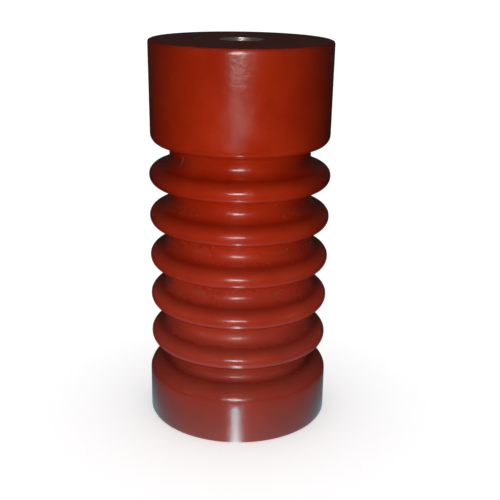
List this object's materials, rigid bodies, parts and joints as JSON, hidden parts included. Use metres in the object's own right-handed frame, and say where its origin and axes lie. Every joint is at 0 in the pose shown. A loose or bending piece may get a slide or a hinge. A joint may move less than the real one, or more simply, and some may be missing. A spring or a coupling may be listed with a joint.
{
  "type": "indoor post insulator",
  "caption": "Ribbed cylindrical post insulator in brick-red cast resin, with tapped metal inserts in its end faces, for holding a busbar clear of an earthed frame.",
  "frame": {"origin": "centre of the base face, on the surface that the post stands on", "axes": "+Z along the post's axis, from the base to the live end; +X through the base's side inserts"},
  "size_m": [0.0626, 0.0626, 0.13],
  "materials": {
    "cast_resin": "satin",
    "plated_steel": "zinc plated",
    "strip_brass": "bare rolled strip"
  },
  "bodies": {
    "root": {"insulator_body": "cast_resin", "top_insert": "plated_steel", "base_insert": "plated_steel", "base_side_insert_left": "plated_steel", "base_side_insert_right": "plated_steel", "base_bonding_strip": "strip_brass"}
  },
  "joints": []
}
